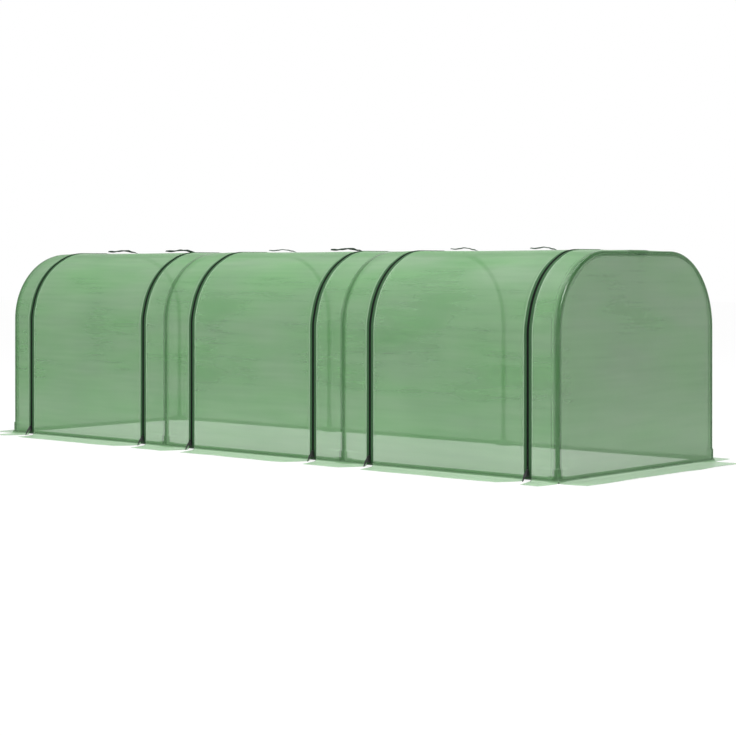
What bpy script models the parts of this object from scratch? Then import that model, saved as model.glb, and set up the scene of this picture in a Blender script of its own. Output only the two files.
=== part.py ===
# A three-bay row cover tunnel: four tube hoops on base rails under a film cover with three zipped doors.
# Metres, +Z up. The length runs along X, the doors face -Y, and the tunnel stands on z = 0.

import math

import bmesh
import bpy
from mathutils import Matrix, Vector

# Tube frame
bay_count = 3
bay_length = 0.988
leg_spacing = 0.976
hoop_height = 0.788
hoop_bend_radius = 0.278
hoop_bend_steps = 8
tube_diameter = 0.016
tube_wall = 0.001
tube_bevel_resolution = 3

# Moulded tube connectors
socket_wall = 0.0032
socket_clearance = 0.0003
socket_reach = 0.036
tube_stop = 0.009
socket_sides = 16
screw_pocket_diameter = 0.007
screw_pocket_depth = 0.0012

# Film cover
film_thickness = 0.0008
film_clearance = 0.0003
seam_gap = 0.0006
door_top_offset = 0.07
skirt_width = 0.12
skirt_fold_radius = 0.012
skirt_notch = 0.04
fold_steps = 4
cover_bend_steps = 10

# Zip fasteners: each one's distance from the nearest hoop's axis, two for every bay
zip_distances = (0.12, 0.131, 0.163, 0.149, 0.141, 0.118)
zip_tape_width = 0.031
zip_chain_width = 0.01
zip_tape_thickness = 0.0007
zip_chain_thickness = 0.0024
zip_step_run = 0.0004
zip_end_height = 0.002

# Zip sliders and pulls
slider_width = 0.0136
slider_length = 0.026
slider_thickness = 0.0042
slider_clearance = 0.0003
slider_rest_height = 0.016
shield_shares = ((0.62, 0.0), (1.0, 0.1), (1.0, 0.4), (0.7, 0.7), (0.7, 0.93), (0.42, 1.0))
bail_length = 0.0105
bail_width = 0.0024
bail_wire = 0.0017
bail_opening = 0.0032
bail_seat = 0.0008
bail_clearance = 0.0006
pull_length = 0.044
pull_width = 0.0118
pull_thickness = 0.0016
pull_bar = 0.0016
pull_slot_width = 0.0034
pull_slot_length = 0.0085
pull_hinge_drop = 0.0045
pull_end_clearance = 0.0009
leaf_shares = (
    (0.5, 0.0),
    (0.71, 0.03),
    (0.71, 0.27),
    (1.0, 0.41),
    (0.82, 0.63),
    (0.52, 0.78),
    (0.52, 0.91),
    (0.26, 1.0),
)

# Tie ribbons
tie_length = 0.16
tie_width = 0.01
tie_thickness = 0.001
tie_rise = 0.0105
tie_root_spacing = 0.38
tie_ridge_distance = 0.052
tie_twist = math.radians(20)
tie_steps = 15
tie_lift_shares = (0.0, 0.45, 1.0, 0.85, 0.6, 0.95)

cut_overrun = 0.004
smooth_limit = math.radians(31)

# What follows from the sizes above
half_length = bay_count * bay_length / 2
half_width = leg_spacing / 2
tube_radius = tube_diameter / 2
socket_bore_radius = tube_radius + socket_clearance
socket_radius = socket_bore_radius + socket_wall
base_height = socket_radius
film_offset = socket_radius + film_clearance
bend_centre_out = half_width - hoop_bend_radius
bend_centre_up = hoop_height - hoop_bend_radius
roof_inside = hoop_height + film_offset
roof_outside = roof_inside + film_thickness
wall_inside = half_width + film_offset
cover_end = half_length + film_offset - film_clearance
pull_hinge_height = slider_rest_height + slider_length - pull_hinge_drop


def start_empty():
    for old in list(bpy.data.objects):
        bpy.data.objects.remove(old, do_unlink=True)


def material(name, colour, roughness, metallic=0.0, alpha=1.0):
    finish = bpy.data.materials.new(name)
    finish.use_nodes = True
    shader = finish.node_tree.nodes["Principled BSDF"]
    shader.inputs["Base Color"].default_value = (*colour, 1.0)
    shader.inputs["Roughness"].default_value = roughness
    shader.inputs["Metallic"].default_value = metallic
    shader.inputs["Alpha"].default_value = alpha
    finish.diffuse_color = (*colour, alpha)
    return finish


def green_tube_paint():
    return material("green_tube_paint", (0.05, 0.13, 0.06), 0.38)


def green_connector_plastic():
    return material("green_connector_plastic", (0.04, 0.12, 0.05), 0.5)


def green_film():
    return material("green_film", (0.16, 0.33, 0.17), 0.42, alpha=0.72)


def black_zip_metal():
    return material("black_zip_metal", (0.012, 0.013, 0.013), 0.35, metallic=0.4)


def dark_ribbon():
    return material("dark_ribbon", (0.03, 0.07, 0.04), 0.7)


def body_from(name, mesh, finish, location=(0, 0, 0), turn=0.0):
    mesh.materials.clear()
    mesh.materials.append(finish)
    mesh.shade_smooth()
    mesh.set_sharp_from_angle(angle=smooth_limit)
    piece = bpy.data.objects.new(name, mesh)
    piece.location = location
    piece.rotation_euler = (0, 0, turn)
    bpy.context.scene.collection.objects.link(piece)
    return piece


def mesh_of(shape, name):
    bmesh.ops.recalc_face_normals(shape, faces=shape.faces)
    mesh = bpy.data.meshes.new(name)
    shape.to_mesh(mesh)
    shape.free()
    return mesh


def loft(loops):
    """A closed body through loops of points, each loop as long as the next, with its end faces split
    between the loop's front half and its back half."""
    shape = bmesh.new()
    rows = [[shape.verts.new(point) for point in loop] for loop in loops]
    count = len(rows[0])
    for low, high in zip(rows, rows[1:]):
        for i in range(count):
            j = (i + 1) % count
            shape.faces.new((low[i], low[j], high[j], high[i]))
    for end in (rows[0], rows[-1]):
        for i in range(count // 2 - 1):
            shape.faces.new((end[i], end[i + 1], end[count - 2 - i], end[count - 1 - i]))
    return shape


def tube(name, points, finish):
    """A steel tube whose centre line runs through the points."""
    line = bpy.data.curves.new(name, "CURVE")
    line.dimensions = "3D"
    line.bevel_depth = tube_radius
    line.bevel_resolution = tube_bevel_resolution
    spline = line.splines.new("POLY")
    spline.points.add(len(points) - 1)
    for knot, point in zip(spline.points, points):
        knot.co = (*point, 1.0)
    line.materials.append(finish)
    piece = bpy.data.objects.new(name, line)
    bpy.context.scene.collection.objects.link(piece)
    wall = piece.modifiers.new("wall", "SOLIDIFY")
    wall.thickness = tube_wall
    wall.offset = -1.0
    wall.use_even_offset = True
    return piece


def hoop_points(side):
    """The centre line of one half of a hoop, from its foot to the ridge."""
    foot = base_height + tube_stop
    line = [(0, side * half_width, foot)]
    for step in range(hoop_bend_steps + 1):
        angle = math.pi / 2 * step / hoop_bend_steps
        out = bend_centre_out + hoop_bend_radius * math.cos(angle)
        up = bend_centre_up + hoop_bend_radius * math.sin(angle)
        line.append((0, side * out, up))
    line.append((0, side * tube_stop, hoop_height))
    return line


def hoop_halves(finish):
    for number in range(bay_count + 1):
        place = number * bay_length - half_length
        for side, word in ((-1, "front"), (1, "back")):
            piece = tube(f"hoop_{number + 1}_{word}_half", hoop_points(side), finish)
            piece.location = (place, 0, 0)


def bay_rails(finish):
    """The long base rails and the ridge rails, one of each for every bay."""
    lines = (
        ("front_base_rail", -half_width, base_height),
        ("back_base_rail", half_width, base_height),
        ("ridge_rail", 0, hoop_height),
    )
    for bay in range(bay_count):
        start = bay * bay_length - half_length + tube_stop
        end = start + bay_length - 2 * tube_stop
        for word, out, up in lines:
            tube(f"{word}_{bay + 1}", [(start, out, up), (end, out, up)], finish)


def end_rails(finish):
    for word, place in (("left", -half_length), ("right", half_length)):
        start = (place, -half_width + tube_stop, base_height)
        end = (place, half_width - tube_stop, base_height)
        tube(f"{word}_end_base_rail", [start, end], finish)


def rod_between(shape, start, end, radius, sides):
    """Adds a capped cylinder from start to end."""
    run = Vector(end) - Vector(start)
    turn = run.to_track_quat("Z", "Y").to_matrix().to_4x4()
    place = Matrix.Translation((Vector(start) + Vector(end)) / 2) @ turn
    bmesh.ops.create_cone(
        shape,
        cap_ends=True,
        segments=sides,
        radius1=radius,
        radius2=radius,
        depth=run.length,
        matrix=place,
    )


def hidden_tool(name, rods):
    """A guide body for a Boolean, built from rods that don't touch each other."""
    shape = bmesh.new()
    for start, end, radius in rods:
        rod_between(shape, start, end, radius, socket_sides)
    guide = bpy.data.objects.new(name, mesh_of(shape, name))
    guide.hide_render = True
    guide.display_type = "WIRE"
    bpy.context.scene.collection.objects.link(guide)
    return guide


def booleans(name, mesh, steps):
    """The mesh after each Boolean in turn. The guides are removed afterwards."""
    blank = bpy.data.objects.new(name, mesh)
    bpy.context.scene.collection.objects.link(blank)
    for operation, guide in steps:
        cut = blank.modifiers.new(guide.name, "BOOLEAN")
        cut.operation = operation
        cut.solver = "EXACT"
        cut.object = guide
    graph = bpy.context.evaluated_depsgraph_get()
    result = bpy.data.meshes.new_from_object(blank.evaluated_get(graph), depsgraph=graph)
    result.name = name
    for spent in [blank] + [guide for _, guide in steps]:
        bpy.data.objects.remove(spent, do_unlink=True)
    return result


def connector(name, sockets, core, pockets):
    """A moulded joint: one socket along each direction, a core rod across the joint, and screw pockets."""
    shape = bmesh.new()
    rod_between(shape, core[0], core[1], socket_radius, socket_sides)
    mesh = mesh_of(shape, name)
    arms = [direction for direction in sockets if Vector(direction).cross(Vector(core[1])).length > 0]
    steps = []
    for number, direction in enumerate(arms):
        mouth = Vector(direction) * socket_reach
        steps.append(("UNION", hidden_tool(f"arm_{number}", [((0, 0, 0), mouth, socket_radius)])))
    bores = []
    for direction in sockets:
        stop = Vector(direction) * (tube_stop - socket_clearance)
        mouth = Vector(direction) * (socket_reach + cut_overrun)
        bores.append((stop, mouth, socket_bore_radius))
    steps.append(("DIFFERENCE", hidden_tool("bores", bores)))
    if pockets:
        cuts = []
        for direction in pockets:
            floor = Vector(direction) * (socket_radius - screw_pocket_depth)
            mouth = Vector(direction) * (socket_radius + cut_overrun)
            cuts.append((floor, mouth, screw_pocket_diameter / 2))
        steps.append(("DIFFERENCE", hidden_tool("pockets", cuts)))
    return booleans(name, mesh, steps)


def base_connectors(finish):
    """Corner joints under the end hoops and tee joints under the others, standing on the ground."""
    post = ((0, 0, -base_height), (0, 0, socket_reach))
    corner_sockets = ((0, 0, 1), (1, 0, 0), (0, 1, 0))
    corner = connector("corner_joint", corner_sockets, post, ((-1, 0, 0), (0, -1, 0)))
    tee = connector("tee_joint", ((0, 0, 1), (1, 0, 0), (-1, 0, 0)), post, ((0, -1, 0),))
    for number in range(bay_count + 1):
        place = number * bay_length - half_length
        first = number == 0
        last = number == bay_count
        for side, word in ((-1, "front"), (1, "back")):
            name = f"{word}_base_joint_{number + 1}"
            mesh = (corner if first or last else tee).copy()
            if first:
                turn = 0 if side < 0 else -math.pi / 2
            elif last:
                turn = math.pi / 2 if side < 0 else math.pi
            else:
                turn = 0 if side < 0 else math.pi
            body_from(name, mesh, finish, (place, side * half_width, base_height), turn)


def ridge_connectors(finish):
    """Joints at the top of each hoop: three sockets at the ends, four between."""
    bar = ((0, -socket_reach, 0), (0, socket_reach, 0))
    across = ((0, 1, 0), (0, -1, 0), (1, 0, 0))
    end = connector("ridge_end_joint", across, bar, ())
    cross = connector("ridge_cross_joint", across + ((-1, 0, 0),), bar, ())
    for number in range(bay_count + 1):
        place = number * bay_length - half_length
        mesh = (end if number in (0, bay_count) else cross).copy()
        turn = math.pi if number == bay_count else 0
        body_from(f"ridge_joint_{number + 1}", mesh, finish, (place, 0, hoop_height), turn)


def fold_rows(wall):
    """From the foot of a wall out along the ground: (out, up, normal out, normal up, share of the skirt)."""
    rows = []
    for step in range(fold_steps + 1):
        angle = math.pi / 2 * step / fold_steps
        out = wall + skirt_fold_radius * (1 - math.cos(angle))
        up = skirt_fold_radius * (1 - math.sin(angle))
        rows.append((out, up, math.cos(angle), math.sin(angle), 0.0))
    rows.append((wall + skirt_width, 0.0, 0.0, 1.0, 1.0))
    return rows


def side_rows(start):
    """One side of the cover in section, from start, measured outwards from the ridge, to the skirt's edge."""
    rows = [(start, roof_inside, 0.0, 1.0, 0.0)]
    radius = hoop_bend_radius + film_offset
    for step in range(cover_bend_steps + 1):
        angle = math.pi / 2 * (1 - step / cover_bend_steps)
        out = bend_centre_out + radius * math.cos(angle)
        up = bend_centre_up + radius * math.sin(angle)
        rows.append((out, up, math.cos(angle), math.sin(angle), 0.0))
    rows.append((wall_inside, skirt_fold_radius + zip_end_height, 1.0, 0.0, 0.0))
    return rows + fold_rows(wall_inside)


def film_panel(name, rows, side, columns, finish):
    """A sheet along the rows. Each column is (x, raised by, notch direction): the zip's tape and chain are
    raised above the film on the wall and end where the skirt folds out."""
    loops = []
    for out, up, normal_out, normal_up, skirt_share in rows:
        wall_row = up > skirt_fold_radius
        inside = []
        outside = []
        for place, raised, notch in columns:
            x = place + notch * skirt_notch * skirt_share
            thick = film_thickness + (raised if wall_row else 0.0)
            inside.append((x, side * out, up))
            outside.append((x, side * (out + normal_out * thick), up + normal_up * thick))
        loops.append(inside + outside[::-1])
    return body_from(name, mesh_of(loft(loops), name), finish)


def zip_edge(centre, toward_door, film_side_notch):
    """Columns across a zip that is sewn to the fixed film, from the film to the chain's far edge."""
    tape = centre - toward_door * zip_tape_width / 2
    chain = centre - toward_door * zip_chain_width / 2
    far = centre + toward_door * zip_chain_width / 2
    step = toward_door * zip_step_run
    return [
        (tape - step, 0.0, film_side_notch),
        (tape, zip_tape_thickness, film_side_notch),
        (chain - step, zip_tape_thickness, film_side_notch),
        (chain, zip_chain_thickness, film_side_notch),
        (far, zip_chain_thickness, film_side_notch),
    ]


def door_edge(centre, toward_door):
    """Columns across the half of the zip's tape that is sewn to a door, from its edge to the film."""
    edge = centre + toward_door * (zip_chain_width / 2 + seam_gap)
    tape = centre + toward_door * zip_tape_width / 2
    step = toward_door * zip_step_run
    return [
        (edge, zip_tape_thickness, toward_door),
        (tape, zip_tape_thickness, toward_door),
        (tape + step, 0.0, toward_door),
    ]


def zip_places():
    """Each zip's centre and the direction from it to its door, from left to right."""
    places = []
    for bay in range(bay_count):
        left_hoop = bay * bay_length - half_length
        right_hoop = left_hoop + bay_length
        places.append((left_hoop + zip_distances[2 * bay], 1))
        places.append((right_hoop - zip_distances[2 * bay + 1], -1))
    return places


def fixed_cover(finish):
    """The film that never opens: the back with the ridge, the front strips over the hoops and the ends."""
    back = side_rows(-door_top_offset)
    plain = [(-cover_end, 0.0, 0), (cover_end, 0.0, 0)]
    film_panel("back_cover", back, 1, plain, finish)

    front = side_rows(door_top_offset + seam_gap)
    places = zip_places()
    for number in range(bay_count + 1):
        columns = []
        if number > 0:
            centre, toward_door = places[2 * number - 1]
            columns += zip_edge(centre, toward_door, 1)[::-1]
        else:
            columns.append((-cover_end, 0.0, 0))
        if number < bay_count:
            centre, toward_door = places[2 * number]
            columns += zip_edge(centre, toward_door, -1)
        else:
            columns.append((cover_end, 0.0, 0))
        film_panel(f"front_strip_{number + 1}", front, -1, columns, finish)


def end_panels(finish):
    """The two flat ends, cut to the cover's outline, each with its own skirt."""
    outline = film_offset + film_thickness
    radius = hoop_bend_radius + outline
    inside = half_length + film_offset
    for side, word in ((-1, "left"), (1, "right")):
        loops = []
        for step in range(cover_bend_steps + 1):
            angle = math.pi / 2 * (1 - step / cover_bend_steps)
            wide = bend_centre_out + radius * math.cos(angle)
            up = bend_centre_up + radius * math.sin(angle)
            loops.append(end_loop(inside, up, 1.0, 0.0, wide, side))
        for out, up, normal_out, normal_up, _ in fold_rows(inside):
            loops.append(end_loop(out, up, normal_out, normal_up, half_width + outline, side))
        body_from(f"{word}_end_panel", mesh_of(loft(loops), word), finish)


def end_loop(out, up, normal_out, normal_up, wide, side):
    over = side * (out + normal_out * film_thickness)
    above = up + normal_up * film_thickness
    inner = [(side * out, -wide, up), (side * out, wide, up)]
    outer = [(over, wide, above), (over, -wide, above)]
    return inner + outer


def doors(finish):
    """A film door in each bay, hinged along its top edge, with its half of each zip's tape."""
    rows = side_rows(door_top_offset + seam_gap)
    places = zip_places()
    for bay in range(bay_count):
        left, right = places[2 * bay], places[2 * bay + 1]
        columns = door_edge(*left) + door_edge(*right)[::-1]
        hinge = bpy.data.objects.new(f"door_{bay + 1}_hinge", None)
        hinge.location = ((left[0] + right[0]) / 2, -door_top_offset, roof_outside)
        bpy.context.scene.collection.objects.link(hinge)
        panel = film_panel(f"door_{bay + 1}", rows, -1, columns, finish)
        panel.parent = hinge
        panel.matrix_parent_inverse = Matrix.Translation(-hinge.location)


def plate(outline, thickness, name):
    """A flat plate in the XZ plane, its front face thickness nearer -Y than its back at y = 0."""
    shape = bmesh.new()
    face = shape.faces.new([shape.verts.new((x, 0, z)) for x, z in outline])
    front = bmesh.ops.extrude_face_region(shape, geom=[face])
    moved = [part for part in front["geom"] if isinstance(part, bmesh.types.BMVert)]
    bmesh.ops.translate(shape, verts=moved, vec=(0, -thickness, 0))
    return mesh_of(shape, name)


def block(name, low, high):
    """A hidden box between two corners, for a Boolean."""
    shape = bmesh.new()
    size = Vector(high) - Vector(low)
    place = Matrix.Translation((Vector(low) + Vector(high)) / 2) @ Matrix.Diagonal((*size, 1.0))
    bmesh.ops.create_cube(shape, size=1.0, matrix=place)
    guide = bpy.data.objects.new(name, mesh_of(shape, name))
    guide.hide_render = True
    guide.display_type = "WIRE"
    bpy.context.scene.collection.objects.link(guide)
    return guide


def slider_mesh():
    """A shield-shaped slider, origin at the middle of its back face's lower end, with a bail for the pull."""
    right = [(across * slider_width / 2, along * slider_length) for across, along in shield_shares]
    left = [(-x, z) for x, z in right[::-1]]
    shield = plate(right + left, slider_thickness, "zip_slider")
    hinge = slider_length - pull_hinge_drop
    top = hinge + pull_bar / 2 + bail_clearance + bail_wire
    bottom = top - bail_length
    face = -slider_thickness
    out = face - bail_opening - bail_wire
    side = bail_width / 2
    arch = block("arch", (-side, out, bottom), (side, face + bail_seat, top))
    inner_low = (-side - cut_overrun, face - bail_opening, bottom + bail_wire)
    inner_high = (side + cut_overrun, face, top - bail_wire)
    window = block("window", inner_low, inner_high)
    return booleans("zip_slider", shield, (("UNION", arch), ("DIFFERENCE", window)))


def pull_mesh():
    """A leaf-shaped pull with its hinge at the origin and an eye round the slider's bail. It is longer than
    its hinge is high, so it leans out until its end is just clear of the skirt."""
    top = pull_bar / 2
    right = [(across * pull_width / 2, top - along * pull_length) for across, along in leaf_shares]
    left = [(-x, z) for x, z in right[::-1]]
    leaf = plate(right + left, pull_thickness, "zip_pull")
    leaf.transform(Matrix.Translation((0, pull_thickness / 2, 0)))
    side = pull_slot_width / 2
    low = (-side, -pull_thickness, -top - pull_slot_length)
    high = (side, pull_thickness, -top)
    pull = booleans("zip_pull", leaf, (("DIFFERENCE", block("slot", low, high)),))
    drop = pull_hinge_height - film_thickness - pull_end_clearance
    lean = math.acos(min(1.0, drop / (pull_length - top)))
    pull.transform(Matrix.Rotation(-lean, 4, "X"))
    return pull


def zip_sliders(finish):
    """A slider in front of the foot of each zip's chain, flush with the chain beside the door, and its pull."""
    slider = slider_mesh()
    pull = pull_mesh()
    back = -(wall_inside + film_thickness + zip_chain_thickness + slider_clearance)
    hinge_out = back - slider_thickness - bail_opening / 2
    for number, (centre, toward_door) in enumerate(zip_places()):
        middle = centre + toward_door * (zip_chain_width - slider_width) / 2
        name = f"zip_slider_{number + 1}"
        body_from(name, slider.copy(), finish, (middle, back, slider_rest_height))
        body_from(f"zip_pull_{number + 1}", pull.copy(), finish, (middle, hinge_out, pull_hinge_height))


def eased(shares, place):
    """The value at a share of the way along evenly spaced shares, easing between them."""
    spot = place * (len(shares) - 1)
    low = min(int(spot), len(shares) - 2)
    ease = (1 - math.cos(math.pi * (spot - low))) / 2
    return shares[low] + (shares[low + 1] - shares[low]) * ease


def ribbon_ties(finish):
    """Two ribbons for each door, sewn to the roof behind it, their free ends running to the left."""
    for bay in range(bay_count):
        middle = (bay + 1) * bay_length - half_length - bay_length / 2
        for number, side in ((1, -1), (2, 1)):
            root = middle + side * tie_root_spacing / 2
            loops = []
            for step in range(tie_steps + 1):
                share = step / tie_steps
                x = root - tie_length * share
                up = roof_outside + film_clearance + tie_rise * eased(tie_lift_shares, share)
                tilt = tie_twist * math.sin(math.pi * share) ** 2
                across = Vector((0, math.cos(tilt), math.sin(tilt))) * tie_width / 2
                thick = Vector((0, -math.sin(tilt), math.cos(tilt))) * tie_thickness
                low = Vector((x, -tie_ridge_distance, up))
                loops.append([low - across, low + across, low + across + thick, low - across + thick])
            name = f"door_{bay + 1}_tie_{number}"
            body_from(name, mesh_of(loft(loops), name), finish)


def build():
    start_empty()
    paint = green_tube_paint()
    hoop_halves(paint)
    bay_rails(paint)
    end_rails(paint)
    plastic = green_connector_plastic()
    base_connectors(plastic)
    ridge_connectors(plastic)
    film = green_film()
    fixed_cover(film)
    end_panels(film)
    doors(film)
    zip_sliders(black_zip_metal())
    ribbon_ties(dark_ribbon())


build()
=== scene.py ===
# Row cover tunnel: film, zips, ribbons and painted tubes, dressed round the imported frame.
from math import ceil, cos, dist, hypot, pi, radians, sin

import bmesh
import bpy
from mathutils import Matrix, Vector, noise


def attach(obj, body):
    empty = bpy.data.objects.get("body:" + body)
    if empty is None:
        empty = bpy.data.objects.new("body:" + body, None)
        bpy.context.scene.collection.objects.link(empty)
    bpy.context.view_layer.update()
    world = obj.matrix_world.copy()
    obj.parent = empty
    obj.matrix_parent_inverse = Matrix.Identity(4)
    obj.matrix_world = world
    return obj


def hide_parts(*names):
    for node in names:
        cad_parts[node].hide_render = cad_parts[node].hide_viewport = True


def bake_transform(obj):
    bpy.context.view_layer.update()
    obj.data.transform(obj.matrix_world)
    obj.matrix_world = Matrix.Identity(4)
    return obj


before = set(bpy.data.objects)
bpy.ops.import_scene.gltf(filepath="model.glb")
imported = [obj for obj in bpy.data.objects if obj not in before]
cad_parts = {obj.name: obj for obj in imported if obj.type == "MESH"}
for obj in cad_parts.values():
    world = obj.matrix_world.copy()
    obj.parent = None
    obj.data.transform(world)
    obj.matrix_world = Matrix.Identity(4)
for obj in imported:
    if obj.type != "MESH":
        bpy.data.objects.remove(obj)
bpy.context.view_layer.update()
print("frame loaded")

# Sizes that the pieces share, in metres
tunnel = {
    "bays": 3,
    "bayLength": 0.988,
    "halfLength": 1.482,
    "halfWidth": 0.488,
    "ridgeHeight": 0.788,
    "bendRadius": 0.278,
    "baseHeight": 0.0115,
    "filmOffset": 0.0126,  # from a tube's axis to the film's outer face
    "hingeOut": 0.07,  # the doors' upper edge, forward of the ridge
    "doorBend": 0.11,  # the film bends over this much of it
    "seamGap": 0.0006,
    "zipDistances": (0.12, 0.131, 0.163, 0.149, 0.141, 0.118),  # from the nearest hoop, two for every bay
}
halfLength, halfWidth, bayLength = [tunnel[key] for key in ("halfLength", "halfWidth", "bayLength")]
ridgeHeight, bendRadius, filmOffset = [tunnel[key] for key in ("ridgeHeight", "bendRadius", "filmOffset")]
bendOut = halfWidth - bendRadius
bendUp = ridgeHeight - bendRadius
filmWall = halfWidth + filmOffset
filmRoof = ridgeHeight + filmOffset
endPlane = halfLength + filmOffset
lowerEdge = tunnel["hingeOut"] + tunnel["seamGap"]
hoopPlaces = [number * bayLength - halfLength for number in range(tunnel["bays"] + 1)]
zipPlaces = [
    hoopPlaces[(number + 1) // 2] + (-distance if number % 2 else distance)
    for number, distance in enumerate(tunnel["zipDistances"])
]


# Nodes


def fill(tree, node, inputs):
    # each input, by its name or number, gets a value or another node's output
    for key, value in inputs.items():
        if isinstance(value, bpy.types.NodeSocket):
            tree.links.new(value, node.inputs[key])
        else:
            node.inputs[key].default_value = value


def addNode(tree, kind, inputs=None, **settings):
    node = tree.nodes.new(kind)
    for key, value in settings.items():
        setattr(node, key, value)
    fill(tree, node, inputs or {})
    return node


socketForms = {"Vector": "Vector", "Geometry": "Geometry", "Finish": "Material"}


def newGroup(name, kind, ins, outs):
    group = bpy.data.node_groups.new(name, f"{kind}NodeTree")
    for side, labels in (("INPUT", ins), ("OUTPUT", outs)):
        for label in labels:
            form = socketForms.get(label, "Float")
            group.interface.new_socket(label, in_out=side, socket_type=f"NodeSocket{form}")
    return group, addNode(group, "NodeGroupInput").outputs


def mathNode(tree, operation, *values):
    return addNode(tree, "ShaderNodeMath", dict(enumerate(values)), operation=operation).outputs[0]


def ranged(tree, value, low, high, toLow, toHigh):
    inputs = {"Value": value, "From Min": low, "From Max": high, "To Min": toLow, "To Max": toHigh}
    return addNode(tree, "ShaderNodeMapRange", inputs).outputs["Result"]


# Camera, floor and light


def newObject(name, data):
    made = bpy.data.objects.new(name, data)
    bpy.context.scene.collection.objects.link(made)
    return made


cameraView = {
    "place": (5.3015, -5.7325, 0.7340),
    "turn": 41.79,
    "lens": 92.59,
    "shiftY": -0.1354,
}


def makeCamera():
    data = bpy.data.cameras.new("photoCamera")
    data.sensor_width = 36
    data.lens = cameraView["lens"]
    data.shift_y = cameraView["shiftY"]
    data.clip_end = 80
    camera = newObject("photoCamera", data)
    camera.location = cameraView["place"]
    camera.rotation_euler = (radians(90), 0, radians(cameraView["turn"]))
    bpy.context.scene.camera = camera


studio = {
    "floorSize": 60,
    "floorDrop": 0.0006,
    "floorGlow": 0.86,
    "floorShade": 0.2,
    "floorBounce": 0.95,
    "worldLight": 0.62,
    "lamps": (
        # name, place, aimed at, width, height, watts, and whether it lights dull surfaces too
        ("overhead", (0.6, -0.6, 4.6), (0, 0, 0.4), 5.0, 3.0, 185, True),
        ("frontSoft", (-1.5, -6.0, 2.6), (-0.2, 0, 0.4), 4.0, 2.0, 50, True),
        ("endSoft", (6.5, -1.0, 2.6), (1.4, 0, 0.4), 2.4, 2.0, 42, True),
        ("gleam", (2.82, -1.99, 2.85), (1.48, -0.49, 0.62), 0.2, 1.5, 170, False),
    ),
}


def seenRays(tree):
    # 1 for rays from the camera, from a reflection or through glass
    path = addNode(tree, "ShaderNodeLightPath").outputs
    first = mathNode(tree, "MAXIMUM", path["Is Camera Ray"], path["Is Glossy Ray"])
    return mathNode(tree, "MAXIMUM", first, path["Is Transmission Ray"])


def emptyTree(data):
    data.use_nodes = True
    data.node_tree.nodes.clear()
    return data.node_tree


def dullShader(tree, level):
    return addNode(tree, "ShaderNodeBsdfDiffuse", {"Color": (level, level, level, 1)}).outputs[0]


def makeFloor():
    half = studio["floorSize"] / 2
    mesh = bpy.data.meshes.new("studioFloor")
    corners = [(x * half, y * half, -studio["floorDrop"]) for x, y in ((-1, -1), (1, -1), (1, 1), (-1, 1))]
    mesh.from_pydata(corners, [], [(0, 1, 2, 3)])
    paint = bpy.data.materials.new("paleFloor")
    mesh.materials.append(paint)
    tree = emptyTree(paint)
    glow = addNode(tree, "ShaderNodeEmission", {"Strength": studio["floorGlow"]}).outputs[0]
    seen = addNode(tree, "ShaderNodeAddShader", {0: dullShader(tree, studio["floorShade"]), 1: glow}).outputs[0]
    mix = {0: seenRays(tree), 1: dullShader(tree, studio["floorBounce"]), 2: seen}
    addNode(tree, "ShaderNodeOutputMaterial", {"Surface": addNode(tree, "ShaderNodeMixShader", mix).outputs[0]})
    newObject("studioFloor", mesh)


def makeLight():
    world = bpy.data.worlds.new("whiteStudio")
    bpy.context.scene.world = world
    tree = emptyTree(world)
    level = ranged(tree, seenRays(tree), 0, 1, studio["worldLight"], 1)
    background = addNode(tree, "ShaderNodeBackground", {"Color": (1, 1, 1, 1), "Strength": level})
    addNode(tree, "ShaderNodeOutputWorld", {"Surface": background.outputs[0]})
    for name, place, aim, width, height, watts, lightsDull in studio["lamps"]:
        data = bpy.data.lights.new(name, "AREA")
        data.shape = "RECTANGLE"
        data.size = width
        data.size_y = height
        data.energy = watts
        lamp = newObject(name, data)
        lamp.location = place
        lamp.rotation_euler = (Vector(aim) - Vector(place)).to_track_quat("-Z", "Y").to_euler()
        lamp.visible_diffuse = lightsDull
    bpy.context.scene.view_settings.view_transform = "Standard"


makeCamera()
makeFloor()
makeLight()
print("camera and studio made")


# Finishes


def weaveGroup():
    # crossed threads over and under each other, on a flat map in metres
    group, start = newGroup("wovenThreads", "Shader", ("Vector", "Pitch"), ("Height", "Gap"))
    turn = mathNode(group, "DIVIDE", pi, start["Pitch"])
    scaled = addNode(group, "ShaderNodeVectorMath", {0: start["Vector"], "Scale": turn}, operation="SCALE")
    parts = addNode(group, "ShaderNodeSeparateXYZ", {0: scaled.outputs[0]}).outputs
    warp, weft = [mathNode(group, "SINE", parts[way]) for way in ("X", "Y")]
    height = mathNode(group, "MULTIPLY_ADD", mathNode(group, "MULTIPLY", warp, weft), 0.5, 0.5)
    gap = mathNode(group, "MINIMUM", *[mathNode(group, "ABSOLUTE", thread) for thread in (warp, weft)])
    addNode(group, "NodeGroupOutput", {"Height": height, "Gap": gap})
    return group


def handledGroup():
    # soft blotches, fine scuffs and the peel of a coated surface
    ins = ("Vector", "Blotch Scale", "Scuff Scale")
    group, start = newGroup("handledSurface", "Shader", ins, ("Blotch", "Scuff", "Peel"))
    each = (("Blotch", "Blotch", 3, 0.5), ("Scuff", "Scuff", 6, 0.7), ("Peel", "Scuff", 1, 0.5))
    noises = {}
    for label, scale, detail, rough in each:
        inputs = {"Vector": start["Vector"], "Scale": start[f"{scale} Scale"], "Detail": detail, "Roughness": rough}
        noises[label] = addNode(group, "ShaderNodeTexNoise", inputs).outputs["Fac"]
    noises["Scuff"] = ranged(group, noises["Scuff"], 0.62, 0.74, 0, 1)
    addNode(group, "NodeGroupOutput", noises)
    return group


wovenThreads = weaveGroup()
handledSurface = handledGroup()


def newFinish(name):
    finish = bpy.data.materials.new(name)
    finish.use_nodes = True
    return finish, finish.node_tree


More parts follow.
